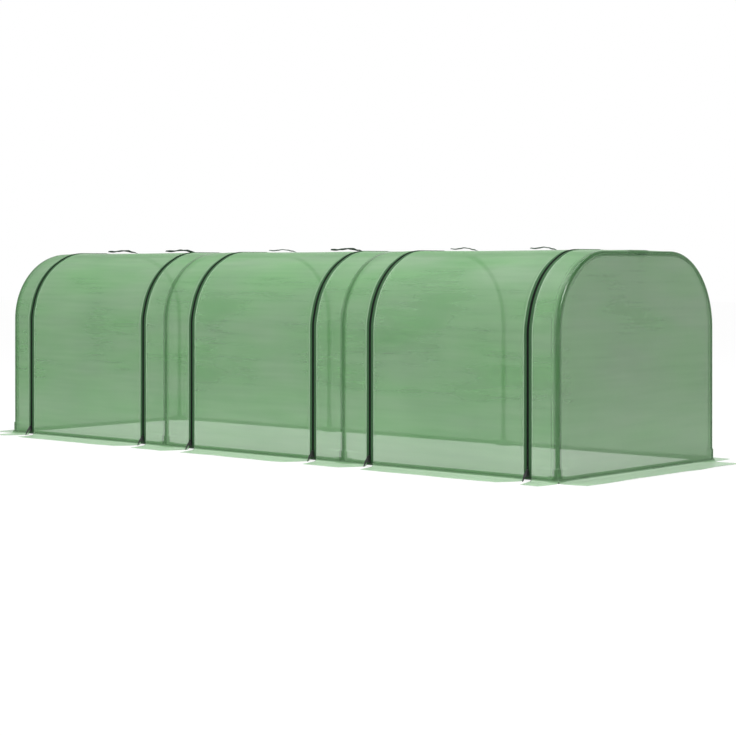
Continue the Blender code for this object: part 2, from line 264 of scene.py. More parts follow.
def dressed(finish, colour, rough, height, distance, plain):
    # the shader with its colour, its roughness, a bump and any plain inputs
    tree = finish.node_tree
    bump = addNode(tree, "ShaderNodeBump", {"Height": height, "Distance": distance, "Strength": 1.0})
    inputs = {"Base Color": colour, "Roughness": rough, "Normal": bump.outputs["Normal"], **plain}
    fill(tree, tree.nodes["Principled BSDF"], inputs)
    return finish


def mixColour(tree, factor, *colours):
    first, second = [(*colour, 1) if isinstance(colour, tuple) else colour for colour in colours]
    return addNode(tree, "ShaderNodeMix", {0: factor, 6: first, 7: second}, data_type="RGBA").outputs[2]


def noiseAt(tree, vector, scale, stretch=None, detail=2.0):
    if stretch:
        vector = addNode(tree, "ShaderNodeMapping", {"Vector": vector, "Scale": stretch}).outputs["Vector"]
    return addNode(tree, "ShaderNodeTexNoise", {"Vector": vector, "Scale": scale, "Detail": detail}).outputs["Fac"]


def painted(tree, name):
    return addNode(tree, "ShaderNodeAttribute", attribute_name=name).outputs["Fac"]


def wovenMap(tree, pitch):
    flat = addNode(tree, "ShaderNodeUVMap", uv_map="sheet").outputs["UV"]
    return flat, addNode(tree, "ShaderNodeGroup", {"Vector": flat, "Pitch": pitch}, node_tree=wovenThreads).outputs


film = {
    "deep": (0.15, 0.344, 0.146),
    "light": (0.22, 0.429, 0.206),
    "gap": (0.08, 0.2, 0.08),
    "hem": (0.38, 0.6, 0.37),
    # painted light: the skirt is paler, lit from above and from the white floor under it
    "skirtLightTone": (0.4, 0.66, 0.385),
    # painted shade for film lying on a hoop, a base rail or a seam
    "paintedShadeTone": (0.023, 0.14, 0.025),
    # painted sheen: greyer tones for the end panels
    "endSheenDeep": (0.188, 0.3, 0.18),
    "endSheenLight": (0.222, 0.34, 0.212),
    "endShare": 0.6,
    "endHalf": 0.5,  # of an end panel's skirt, in metres
    "endHem": 0.49,
    "endEdges": (0.973, 0.984, 0.992),  # closer columns at its rim, as shares of its half width
    "footLight": 0.34,  # how far the foot of a wall is on its way to the skirt's tone
    "footLightHeight": 0.34,
    "alpha": 0.55,  # for each of the sheet's two faces
    "rough": (0.36, 0.48),
    "bump": 0.0012,
    "thickness": 0.0005,
    "threadPitch": 0.0016,
    "gridAlong": 0.014,
    "gridAcross": 0.016,
    "closest": 0.003,  # between a grid line and an added one
    "sag": 0.0022,
    "hug": 0.0037,
    "ripples": (0.0009, 0.0003),
    "endRipples": (0.0022, 0.0014),
    "skirtWaves": (0.0045, 0.005),  # up and sideways
    "skirt": 0.12,
    "skirtRise": 0.0008,
    "foldRadius": 0.012,
    "wallFoot": 0.014,
    "collar": 0.0485,  # just over the joints at the hoops' feet
    "notch": 0.04,
    "doorNotch": 0.1,  # how far the notch at a zip reaches along the skirt
    "stripNotch": 0.09,
    "hemWidth": 0.0038,
    "hemRise": 0.0003,
    "hemStep": 0.0004,  # over which it rises
    "tuck": 0.0025,  # the film's edge under a zip's tape
    "skirtHem": 0.012,
    "hemFrom": 0.892,  # the skirt's hem begins at this share of its width
    "hemUp": 0.0014,
    "endSeam": 0.021,  # from an end hoop's axis to the sewn line beside it
    "roofSeam": (0.006, 1.48),  # behind the doors' upper edge, and half its length
    "seamRise": 0.0002,
    "seamShade": 0.5,
    "topShade": 0.35,  # more for the top of the end hoops
    "railTop": 0.018,  # the base rails' shade ends here
    "railShade": 0.65,
    "hoopShades": (0.008, 0.012, 0.0165),  # columns beside each hoop
    "seamShades": (0.001, 0.0022),
}


def greenFilm():
    finish, tree = newFinish("greenFilm")
    flat, threads = wovenMap(tree, film["threadPitch"])
    streak = noiseAt(tree, flat, 1.0, (3, 42, 1), 1)  # pulled along the roll
    cloud = noiseAt(tree, flat, 2.6)
    crease = noiseAt(tree, flat, 1.0, (11, 26, 1))
    patch = noiseAt(tree, flat, 1.0, (2.6, 9, 1), 1)
    across, skirt, hem, paintedShadeAndTaut = [painted(tree, name) for name in ("across", "skirt", "hem", "paintedShadeAndTaut")]
    tone = mathNode(tree, "MULTIPLY_ADD", streak, 0.22, mathNode(tree, "MULTIPLY", cloud, 0.35))
    tone = ranged(tree, tone, 0.165, 0.405, 0, 1)
    colour = mixColour(tree, tone, film["deep"], film["light"])
    colour = mixColour(tree, ranged(tree, threads["Gap"], 0, 0.3, 0.08, 0), colour, film["gap"])
    # the end panels' weave runs the other way, and they take greyer tones: a painted sheen, as the light meets them at
    # another angle
    colour = mixColour(tree, across, colour, mixColour(tree, tone, film["endSheenDeep"], film["endSheenLight"]))
    faded = {"Saturation": ranged(tree, patch, 0.3, 0.7, 1.12, 0.88), "Color": colour}
    colour = addNode(tree, "ShaderNodeHueSaturation", faded).outputs["Color"]
    # painted light: the skirt and the foot of the walls take a paler tone
    colour = mixColour(tree, skirt, colour, film["skirtLightTone"])
    colour = mixColour(tree, hem, colour, film["hem"])
    # painted shade: film drawn tight over a hoop gets no light from behind, so its colour is darkened there, and over
    # the base rails and along the end seams; it is also smoother
    colour = mixColour(tree, mathNode(tree, "MULTIPLY", paintedShadeAndTaut, 0.6), colour, film["paintedShadeTone"])
    rough = mathNode(tree, "MULTIPLY_ADD", paintedShadeAndTaut, -0.2, ranged(tree, cloud, 0.3, 0.7, *film["rough"]))
    crease = mathNode(tree, "MULTIPLY", crease, ranged(tree, across, 0, film["endShare"], 1, 1.7))
    height = mathNode(tree, "MULTIPLY_ADD", threads["Height"], 0.04, crease)
    height = mathNode(tree, "MULTIPLY_ADD", streak, 0.02, height)
    return dressed(finish, colour, rough, height, film["bump"], {"Alpha": film["alpha"], "Specular IOR Level": 0.4})


coatings = {
    # name, scales of its blotches and scuffs, its tones, roughness, peel, plain inputs, and its scuffs' share and tone
    "steel": (
        "greenPaintedSteel", (9.0, 420.0), (0.018, 0.06, 0.021), (0.03, 0.086, 0.034), (0.32, 0.45), 0.00012,
        {"Specular IOR Level": 0.22}, 0.35, (0.1, 0.17, 0.1),
    ),
    "plastic": (
        "greenMouldedPlastic", (30.0, 900.0), (0.017, 0.056, 0.02), (0.028, 0.078, 0.032), (0.46, 0.6), 0.0002,
        {"Specular IOR Level": 0.25}, 0.3, (0.07, 0.13, 0.07),
    ),
    "zipMetal": (
        "blackCoatedMetal", (120.0, 1500.0), (0.006, 0.008, 0.007), (0.016, 0.019, 0.017), (0.28, 0.42), 0.00008,
        {"Metallic": 0.3}, 0.5, (0.09, 0.09, 0.085),
    ),
    "coil": (
        "blackZipCoil", (60.0, 1800.0), (0.003, 0.006, 0.004), (0.008, 0.014, 0.009), (0.52, 0.66), 0.00006,
        {"Specular IOR Level": 0.08},
    ),
    "zinc": (
        "zincScrew", (300.0, 2000.0), (0.62, 0.64, 0.62), (0.82, 0.84, 0.82), (0.25, 0.4), 0.00005,
        {"Metallic": 0.85},
    ),
}


def coatedFinish(name, scales, dark, pale, rough, peel, plain, scuffShare=0.0, scuffTone=None):
    finish, tree = newFinish(name)
    place = addNode(tree, "ShaderNodeTexCoord").outputs["Object"]
    inputs = {"Vector": place, "Blotch Scale": scales[0], "Scuff Scale": scales[1]}
    worn = addNode(tree, "ShaderNodeGroup", inputs, node_tree=handledSurface).outputs
    colour = mixColour(tree, worn["Blotch"], dark, pale)
    if scuffTone:
        colour = mixColour(tree, mathNode(tree, "MULTIPLY", worn["Scuff"], scuffShare), colour, scuffTone)
    rough = ranged(tree, worn["Blotch"], 0.3, 0.7, *rough)
    return dressed(finish, colour, rough, worn["Peel"], peel, plain)


bands = {
    # name, dark and pale tone, pitch of the threads, roughness
    "tape": ("greenZipTape", (0.018, 0.06, 0.022), (0.07, 0.17, 0.075), 0.0009, 0.75),
    "darkRibbon": ("darkTieRibbon", (0.008, 0.02, 0.012), (0.03, 0.06, 0.036), 0.0008, 0.65),
    "greyRibbon": ("greyTieRibbon", (0.03, 0.05, 0.036), (0.1, 0.14, 0.108), 0.0008, 0.6),
}


def wovenBand(name, dark, pale, pitch, roughness):
    finish, tree = newFinish(name)
    flat, threads = wovenMap(tree, pitch)
    fuzz = noiseAt(tree, flat, 900.0, None, 3)
    tone = mathNode(tree, "MULTIPLY", threads["Height"], ranged(tree, fuzz, 0.3, 0.7, 0.6, 1.2))
    # painted shade: a zip's tape is darkest under its coil
    colour = mixColour(tree, painted(tree, "hem"), mixColour(tree, tone, dark, pale), (0.004, 0.008, 0.005))
    rough = ranged(tree, fuzz, 0.3, 0.7, roughness - 0.08, roughness + 0.08)
    return dressed(finish, colour, rough, threads["Height"], 0.0003, {"Specular IOR Level": 0.12})


def threadFinish():
    finish, tree = newFinish("greenSewingThread")
    twist = noiseAt(tree, addNode(tree, "ShaderNodeTexCoord").outputs["Object"], 1400.0)
    colour = mixColour(tree, twist, (0.1, 0.24, 0.1), (0.26, 0.44, 0.25))
    return dressed(finish, colour, ranged(tree, twist, 0.3, 0.7, 0.55, 0.75), twist, 0.0001, {})


finishes = {"film": greenFilm(), "thread": threadFinish()}
finishes.update({key: coatedFinish(*coating) for key, coating in coatings.items()})
finishes.update({key: wovenBand(*band) for key, band in bands.items()})
print("finishes made")


# Meshes and places


def linked(name, mesh, finish):
    mesh.materials.clear()
    mesh.materials.append(finishes[finish])
    return newObject(name, mesh)


def meshOf(name, shape):
    mesh = bpy.data.meshes.new(name)
    shape.to_mesh(mesh)
    shape.free()
    return mesh


def plainMesh(piece, *spent):
    # what the piece's modifiers or bevel give, once the objects that made it are gone
    graph = bpy.context.evaluated_depsgraph_get()
    mesh = bpy.data.meshes.new_from_object(piece.evaluated_get(graph), depsgraph=graph)
    for other in (piece, *spent):
        bpy.data.objects.remove(other, do_unlink=True)
    return mesh


def joined(name, pieces, finish):
    whole = bmesh.new()
    for piece in pieces:
        mesh = plainMesh(piece)
        whole.from_mesh(mesh)
        bpy.data.meshes.remove(mesh)
    return linked(name, meshOf(name, whole), finish)


def softShaded(mesh, degrees):
    mesh.shade_smooth()
    mesh.set_sharp_from_angle(angle=radians(degrees))
    return mesh


def follow(piece, body):
    # film and trim on a door have their place baked into their mesh, and the rest hangs from its body's empty
    if body.startswith("door"):
        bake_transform(piece)
    else:
        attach(piece, body)


def standsFor(piece, node, body="tunnel"):
    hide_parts(node)
    follow(piece, body)


def spread(start, end, step):
    count = max(1, ceil(abs(end - start) / step))
    return [start + (end - start) * i / count for i in range(count + 1)]


def smooth(value):
    value = min(max(value, 0.0), 1.0)
    return value * value * (3 - 2 * value)


def onBend(angle, radius=bendRadius):
    return bendOut + radius * cos(angle), bendUp + radius * sin(angle)


def withPlain(near, plain):
    # the added places, and the plain ones that aren't too close to them
    return sorted(near + [place for place in plain if all(abs(place - other) > film["closest"] for other in near)])


# The cover's section and how it lies


def wallHeights(foot):
    # down a wall, with closer rows where the film meets the top of a joint or a base rail
    near = [film["collar"] + step * 0.004 for step in (2, 1, 0, -1)] + [film["railTop"]]
    near = [up for up in near if up > foot + film["closest"]]
    return withPlain(near, spread(bendUp, foot, film["gridAlong"])[1:])[::-1]


def sectionRows(start, lift=0.0, wallFoot=None):
    # each row has its place outwards and up, its normal, its share of the skirt, and its way along the film
    rows = [[out, filmRoof + lift, 0.0, 1.0, 0.0] for out in spread(start, bendOut, film["gridAlong"])]
    radius = bendRadius + filmOffset + lift
    for angle in spread(pi / 2, 0, film["gridAlong"] / radius)[1:]:
        rows.append([*onBend(angle, radius), cos(angle), sin(angle), 0.0])
    rows += [[filmWall + lift, up, 1.0, 0.0, 0.0] for up in wallHeights(wallFoot or film["wallFoot"])]
    if wallFoot is None:
        rows += foldRows(filmWall)
    along = 0.0
    for number, row in enumerate(rows):
        if number:
            along += dist(row[:2], rows[number - 1][:2])
        row.append(along)
    return rows


def foldRows(wall):
    # the film's outer face, so the turn is its own thickness inside the fold's radius
    rise = film["skirtRise"]
    turn = film["foldRadius"] - rise
    rows = []
    for angle in spread(0, pi / 2, pi / 12):
        cosine, sine = cos(angle), sin(angle)
        rows.append([wall + turn * (1 - cosine), rise + turn * (1 - sine), cosine, sine, 0.0])
    reach = film["skirt"] - rise
    hem = reach - film["skirtHem"]
    for out in spread(turn, hem, film["gridAlong"])[1:] + [hem + 0.0006] + spread(hem, reach, 0.006)[1:]:
        rows.append([wall + out, rise, 0.0, 1.0, (out - turn) / (reach - turn)])
    return rows


def hoopDistance(x):
    bay = (x + halfLength) / bayLength
    nearest = min(max(round(bay), 0), tunnel["bays"])
    return abs(bay - nearest) * bayLength


def hugAt(x, out, up):
    # the film is drawn in until it meets the hoops, but for their joints, and all along the bends
    near = 1 - smooth((hoopDistance(x) - 0.012) / 0.09)
    clear = smooth((up - film["collar"]) / 0.004) * smooth((abs(out) - 0.05) / 0.03)
    share = (up - bendUp) / (bendRadius + filmOffset)
    bend = smooth(share / 0.25) * smooth((1 - share) / 0.12)
    return film["hug"] * max(near * clear, bend)


def filmSink(x, row, side):
    # how far the film dips between two hoops, with light ripples, and not at all where it is held
    out, up, along = row[0], row[1], row[5]
    bay = (x + halfLength) / bayLength
    free = sin(pi * min(max(bay, 0.0), tunnel["bays"])) ** 2 * smooth((up - 0.05) / 0.2)
    wide, fine = film["ripples"]
    ripple = noise.noise(Vector((x * 3.2, along * 6.1, 4.7 * side))) * wide
    ripple += noise.noise(Vector((x * 12.0, along * 21.0, 9.1 * side))) * fine
    return hugAt(x, out, up) + free * (film["sag"] * (0.7 + 0.3 * sin(along * 2.1)) + ripple)


def overFilm(x, row, rise=0.0):
    # a spot on the front of the cover, or a little over it
    out, up, normalOut, normalUp = row[:4]
    offset = rise - filmSink(x, row, -1)
    return Vector((x, -(out + normalOut * offset), up + normalUp * offset))


def foldShare(row):
    # 1 on the skirt and 0 on the wall, turning over round the fold
    return smooth(row[3] / 0.6) if row[1] < film["foldRadius"] + 0.001 else 0.0


def skirtLightShare(row):
    # painted light: the foot of a wall is paler, on its way to the skirt's paler tone, as if lit by the floor
    return max(foldShare(row), film["footLight"] * (1 - smooth(row[1] / film["footLightHeight"])))


def hemShare(row):
    return 1.0 if row[4] > film["hemFrom"] else 0.0


def railShadeShare(row):
    # painted shade: the film's foot is darkened where it lies against the base rails
    return film["railShade"] * smooth((film["railTop"] - row[1]) / 0.006) * smooth((row[1] - 0.003) / 0.004)


def paintedShadeAndTautShare(row, column):
    # 1 where the film lies on a hoop: the painted shade there, deeper over the end hoops' tops, and also along the end
    #                                  seams and on the base rails
    reach = 0.008 if row[1] > film["collar"] else 0.0105
    near = 1 - smooth((hoopDistance(column["x"]) - reach) / 0.006)
    if column["roll"]:
        near = 1 + film["topShade"] * row[3]
    seam = abs(abs(column["x"]) - halfLength + film["endSeam"])
    near = max(near, film["seamShade"] * (1 - smooth((seam - 0.001) / 0.0012)))
    return max(near * (1 - foldShare(row)), railShadeShare(row))


def sewnHem(plane):
    # how far out the line lies that is sewn along a skirt's hem
    return plane + film["skirt"] - film["skirtHem"]


def skirtWave(place, share, side):
    # a skirt's edge lifts and wanders a little off its straight line
    lift, wander = film["skirtWaves"]
    lift *= (0.5 + 0.5 * noise.noise(Vector((place * 7.0, side * 3.1, 2.0)))) * share ** 2
    return lift, wander * noise.noise(Vector((place * 4.0, side * 5.3, 8.0))) * share ** 2


def gridPiece(name, points, flats, masks, finish, thickness, facing=(0, 0, 1)):
    # a sheet from rows of points; a mask has one value for each point or for each row
    wide = len(points[0])
    verts = [point for row in points for point in row]
    corners = [r * wide + c for r in range(len(points) - 1) for c in range(wide - 1)]
    faces = [(a, a + 1, a + wide + 1, a + wide) for a in corners]
    if (verts[1] - verts[0]).cross(verts[wide + 1] - verts[0]).dot(Vector(facing)) < 0:
        faces = [face[::-1] for face in faces]
    mesh = bpy.data.meshes.new(name)
    mesh.from_pydata(verts, [], faces)
    mesh.polygons.foreach_set("use_smooth", [True] * len(faces))
    flat = [place for row in flats for place in row]
    layer = mesh.uv_layers.new(name="sheet")
    for loop in mesh.loops:
        layer.data[loop.index].uv = flat[loop.vertex_index]
    for label, rows in masks.items():
        values = [value for row in rows for value in (row if isinstance(row, list) else [row] * wide)]
        mesh.attributes.new(label, "FLOAT", "POINT").data.foreach_set("value", values)
    mesh.update()
    piece = linked(name, mesh, finish)
    wall = piece.modifiers.new("sheetWall", "SOLIDIFY")
    wall.thickness = thickness
    wall.offset = -1.0
    return piece


def coverColumn(x, hem=0.0, raised=0.0, roll=0.0, side=0):
    return {"x": x, "hem": hem, "raised": raised, "roll": roll, "side": side, "u": x}


def between(low, high):
    # columns from one place to another, with closer ones at each hoop and sewn line that they pass
    near = list(hoopPlaces)
    near += [hoop + side * shift for hoop in hoopPlaces for side in (-1, 1) for shift in film["hoopShades"]]
    seam = halfLength - film["endSeam"]
    near += [side * seam + way * shift for side in (-1, 1) for way in (-1, 1) for shift in film["seamShades"]]
    near = [x for x in near if low + 0.001 < x < high - 0.001]
    return [coverColumn(x) for x in withPlain(near, spread(low, high, film["gridAcross"])[1:-1])]


def rolledEnd(side):
    # from the end hoop on, the columns curl round it to meet the end panel
    columns = [coverColumn(side * halfLength)]
    for angle in spread(0, pi / 2, pi / 14)[1:]:
        columns.append(coverColumn(side * (halfLength + filmOffset * sin(angle)), roll=angle, side=side))
        columns[-1]["u"] = side * (halfLength + filmOffset * angle)
    return columns[::side]


def zipHem(zipAt, away):
    # the film's edge at a zip, from under the tape to past its folded, paler hem
    tape = zipAt + away * (zipParts["tapeHalf"] - 0.0001)
    hem = tape + away * film["hemWidth"]
    step, rise = away * film["hemStep"], film["hemRise"]
    columns = [coverColumn(zipAt + away * (zipParts["tapeHalf"] - film["tuck"])), coverColumn(tape)]
    columns += [coverColumn(tape + step, 1.0, rise), coverColumn(hem, 1.0, rise), coverColumn(hem + step)]
    return columns[::away]


def coverSheet(name, node, rows, ends, body="tunnel", side=-1):
    # ends are its left and right columns, and its skirt is notched at each zip
    left, right = ends
    columns = left + between(left[-1]["x"], right[0]["x"]) + right
    fade = film["stripNotch" if body == "tunnel" else "doorNotch"]
    notches = [(columns[end]["x"], way) for end, way in ((0, 1), (-1, -1)) if not columns[end]["roll"]]
    points, flats, hems = [], [], []
    for row in rows:
        out, up, normalOut, normalUp, share, along = row
        normal = Vector((0, side * normalOut, normalUp))
        line = []
        for column in columns:
            x, roll = column["x"], column["roll"]
            shift = sum(way * film["notch"] * share * max(0.0, 1 - abs(x - edge) / fade) for edge, way in notches)
            offset = column["raised"] - filmSink(x, row, side)
            point = Vector((x + shift, side * out, up))
            if roll:
                held = smooth((up - film["foldRadius"]) / 0.002)
                hug = hugAt(x, out, up)
                offset -= (filmOffset - hug) * (1 - cos(roll)) * held
                point.x -= column["side"] * hug * sin(roll)
            point += normal * offset
            if share:
                lift, wander = skirtWave(x, share, side)
                point += Vector((0, side * wander, lift))
            line.append(point)
        points.append(line)
        flats.append([(column["u"] + 2.0, along) for column in columns])
        hems.append([hemShare(row) if share else column["hem"] for column in columns])
    masks = {
        "hem": hems,
        "skirt": [skirtLightShare(row) for row in rows],
        "paintedShadeAndTaut": [[paintedShadeAndTautShare(row, column) for column in columns] for row in rows],
    }
    facing = (-1, 0, 0) if columns[0]["roll"] else (0, 0, 1)
    piece = gridPiece(name, points, flats, masks, "film", film["thickness"], facing)
    standsFor(piece, node, body)


# Zip tapes, coils and stitches

zipParts = {
    "tapeHalf": 0.0165,
    "tapeColumns": (0.0002, 0.0048, 0.0051, 0.0105, 0.0165),
    "coreHalf": 0.005,
    "tapeRise": 0.0007,
    "tapeThickness": 0.0005,
    "tapeFoot": 0.0145,
    "tapeSeam": 0.0018,  # from its edge
    "coil": {"Pitch": 0.0032, "Rise": 0.0017, "Wire": 0.00058},
    "coilGap": 0.0002,
    "coilReach": 0.0043,
    "coilCross": 0.0009,
    "stitch": {"Pitch": 0.0052, "Length": 0.0034, "Thickness": 0.00035},
}


def wallPath(x, lift, foot=zipParts["tapeFoot"] + 0.002):
    # up the wall and over the bend to the roof
    return [overFilm(x, row) for row in sectionRows(lowerEdge, lift, foot)][::-1]


def tapeSheet(name, halves):
    # one half tape for each (zip, direction away from the zip's middle)
    pieces = []
    rows = sectionRows(lowerEdge, 0.0, zipParts["tapeFoot"])
    reaches = zipParts["tapeColumns"]
    # painted shade: the tape under the coil is marked to be darkest
    core = [1.0 if reach < zipParts["coreHalf"] else 0.0 for reach in reaches]
    for number, (zipAt, away) in enumerate(halves):
        points = [[overFilm(zipAt + away * reach, row, zipParts["tapeRise"]) for reach in reaches] for row in rows]
        flats = [[(reach + number * 0.05, row[5]) for reach in reaches] for row in rows]
        masks = {"hem": [core] * len(rows)}
        pieces.append(gridPiece(f"{name}{number}", points, flats, masks, "tape", zipParts["tapeThickness"]))
    return joined(name, pieces, "tape")


def curveOf(name, lines):
    curve = bpy.data.curves.new(name, "CURVE")
    curve.dimensions = "3D"
    for line in lines:
        spline = curve.splines.new("POLY")
        spline.points.add(len(line) - 1)
        for knot, point in zip(spline.points, line):
            knot.co = (*point, 1)
    return newObject(name, curve)


def placeAlong(tree, start, shape, pivot):
    # the shape goes on every point of the evenly spaced curve, turned along it
    spaced = {"Curve": start["Geometry"], "Length": start["Pitch"]}
    spots = addNode(tree, "GeometryNodeCurveToPoints", spaced, mode="LENGTH").outputs
    turn = {"Vector": spots["Tangent"]}
    align = addNode(tree, "FunctionNodeAlignRotationToVector", turn, axis="Z", pivot_axis=pivot)
    placed = {"Points": spots["Points"], "Instance": shape, "Rotation": align.outputs[0]}
    copies = addNode(tree, "GeometryNodeInstanceOnPoints", placed)
    real = addNode(tree, "GeometryNodeRealizeInstances", {0: copies.outputs[0]})
    done = addNode(tree, "GeometryNodeSetMaterial", {"Geometry": real.outputs[0], "Material": start["Finish"]})
    addNode(tree, "NodeGroupOutput", {0: done.outputs[0]})


def coilTree():
    # one arched loop of the coil, reaching from its tape over the zip's middle
    ins = ("Geometry", "Pitch", "Reach", "Cross", "Rise", "Wire", "Finish")
    tree, start = newGroup("zipCoil", "Geometry", ins, ("Geometry",))
    lift = mathNode(tree, "MULTIPLY", start["Rise"], -0.95)
    arch = {"Resolution": 4}
    for label, across in (("Start", "Reach"), ("End", "Cross")):
        arch[label] = addNode(tree, "ShaderNodeCombineXYZ", {"X": start[across]}).outputs[0]
        arch[f"{label} Handle"] = addNode(tree, "ShaderNodeCombineXYZ", {"Y": lift}).outputs[0]
    loop = addNode(tree, "GeometryNodeCurvePrimitiveBezierSegment", arch, mode="OFFSET").outputs[0]
    section = {"Resolution": 5, "Radius": start["Wire"]}
    ring = addNode(tree, "GeometryNodeCurvePrimitiveCircle", section, mode="RADIUS").outputs[0]
    wire = addNode(tree, "GeometryNodeCurveToMesh", {"Curve": loop, "Profile Curve": ring, "Fill Caps": True})
    placeAlong(tree, start, wire.outputs[0], "X")
    return tree


def stitchTree():
    ins = ("Geometry", "Pitch", "Length", "Thickness", "Finish")
    tree, start = newGroup("stitchRow", "Geometry", ins, ("Geometry",))
    sizes = {"Vertices": 5, "Radius": start["Thickness"], "Depth": start["Length"]}
    stitch = addNode(tree, "GeometryNodeMeshCylinder", sizes, fill_type="NGON")
    placeAlong(tree, start, stitch.outputs["Mesh"], "AUTO")
    return tree


zipCoil = coilTree()
stitchRow = stitchTree()


def grown(name, lines, tree, sizes, finish):
    # the tree run along the lines, as a plain mesh
    guide = curveOf(name, lines)
    grow = guide.modifiers.new(tree.name, "NODES")
    grow.node_group = tree
    sockets = {item.name: item.identifier for item in tree.interface.items_tree if item.in_out == "INPUT"}
    for label, value in {**sizes, "Finish": finishes[finish]}.items():
        grow[sockets[label]] = value
    return linked(name, plainMesh(guide), finish)


def coilPiece(name, halves):
    # the two sides' loops are half a pitch apart
    pieces = []
    for number, (zipAt, away) in enumerate(halves):
        foot = zipParts["tapeFoot"] + 0.0022 + (zipParts["coil"]["Pitch"] / 2 if away > 0 else 0.0)
        line = wallPath(zipAt, zipParts["tapeRise"] + zipParts["coilGap"], foot)
        sizes = {"Reach": away * zipParts["coilReach"], "Cross": -away * zipParts["coilCross"], **zipParts["coil"]}
        pieces.append(grown(f"{name}{number}", [line], zipCoil, sizes, "coil"))
    return joined(name, pieces, "coil")


def stitchPiece(name, lines, body="tunnel"):
    piece = grown(name, lines, stitchRow, zipParts["stitch"], "thread")
    follow(piece, body)
    return piece


def zipDressing(name, halves, body="tunnel"):
    tape = tapeSheet(f"{name}ZipTape", halves)
    coil = coilPiece(f"{name}ZipCoil", halves)
    seams = ((-zipParts["tapeSeam"], zipParts["tapeRise"]), (film["hemWidth"] / 2, film["hemRise"]))
    half = zipParts["tapeHalf"]
    lines = [wallPath(zipAt + away * (half + shift), rise) for shift, rise in seams for zipAt, away in halves]
    stitches = stitchPiece(f"{name}ZipStitches", lines, body)
    for piece, slotName in ((tape, "tie_ribbon"), (coil, "zip_metal")):
        follow(piece, body)
    return [tape, coil, stitches]


# The cover


def backCover():
    back, half = film["roofSeam"]
    row = (back - tunnel["hingeOut"], filmRoof, 0.0, 1.0, 0.0, back)
    seam = [Vector((x, row[0], filmRoof - filmSink(x, row, 1))) for x in spread(-half, half, 0.02)]
    hemLine = [Vector((x, sewnHem(filmWall), film["hemUp"])) for x in spread(-halfLength, halfLength, 0.05)]
    stitches = stitchPiece("backCoverStitches", [hemLine, seam])
    rows = sectionRows(-tunnel["hingeOut"])
    coverSheet("backCoverFilm", "back_cover", rows, (rolledEnd(-1), rolledEnd(1)), side=1)


def frontStrips():
    rows = sectionRows(lowerEdge)
    for number in range(len(hoopPlaces)):
        halves, ends = [], [rolledEnd(-1), rolledEnd(1)]
        for end, (place, away) in enumerate(((2 * number - 1, 1), (2 * number, -1))):
            if 0 <= place < len(zipPlaces):
                halves.append((zipPlaces[place], away))
                ends[end] = zipHem(*halves[-1])
        name = f"frontStrip{number + 1}"
        extras = zipDressing(name, halves)
        if len(halves) == 1:
            seam = halves[0][1] * (halfLength - film["endSeam"])
            extras.append(stitchPiece(f"{name}SeamStitches", [wallPath(seam, film["seamRise"])]))
        coverSheet(f"{name}Film", f"front_strip_{number + 1}", rows, ends)


def doorPanels():
    rows = sectionRows(lowerEdge)
    for bay in range(1, tunnel["bays"] + 1):
        halves = [(zipPlaces[2 * bay - 2], 1), (zipPlaces[2 * bay - 1], -1)]
        body = f"door_{bay}_body"
        extras = zipDressing(f"door{bay}", halves, body)
        ends = [zipHem(*half) for half in halves]
        coverSheet(f"door{bay}Film", f"door_{bay}", rows, ends, body)


def insideArch(out, up):
    # how far a spot on an end lies inside the end hoop's line
    if up < bendUp:
        return halfWidth - out
    if out < bendOut:
        return ridgeHeight - up
    return bendRadius - hypot(out - bendOut, up - bendUp)


def endSpot(side, place, row, reach):
    # a point of an end panel, its spot on the flat film, and its painted shade where it lies tight on the end hoop or
    # a base rail
    out, up, normalOut, _, share = row
    y = place * reach
    free = smooth((up - 0.03) / 0.15) * smooth((1 - abs(place)) / 0.15) * smooth((ridgeHeight - up) / 0.1)
    wide, fine = film["endRipples"]
    ripple = noise.noise(Vector((y * 3.4, up * 4.2, side * 5.0))) * wide
    ripple += noise.noise(Vector((y * 6.0 + up * 11.0, up * 3.0 - y * 2.0, side * 2.0))) * fine
    inside = insideArch(abs(y), up)
    hug = hugAt(halfLength, y, up) * (1 - smooth((inside - 0.01) / 0.05))
    point = Vector((side * (out + normalOut * (ripple * free - 0.0002 - hug)), y, up))
    if share:
        lift, wander = skirtWave(y, share, 2 * side)
        point += Vector((side * wander, 0, lift))
    # painted shade where the panel lies on the end hoop
    onHoop = (1 - smooth((inside - 0.008) / 0.005)) * (1 - foldShare(row))
    return point, (y + 1.0, 2.0 + out - endPlane if share else 2.0 - up), max(onHoop, railShadeShare(row))


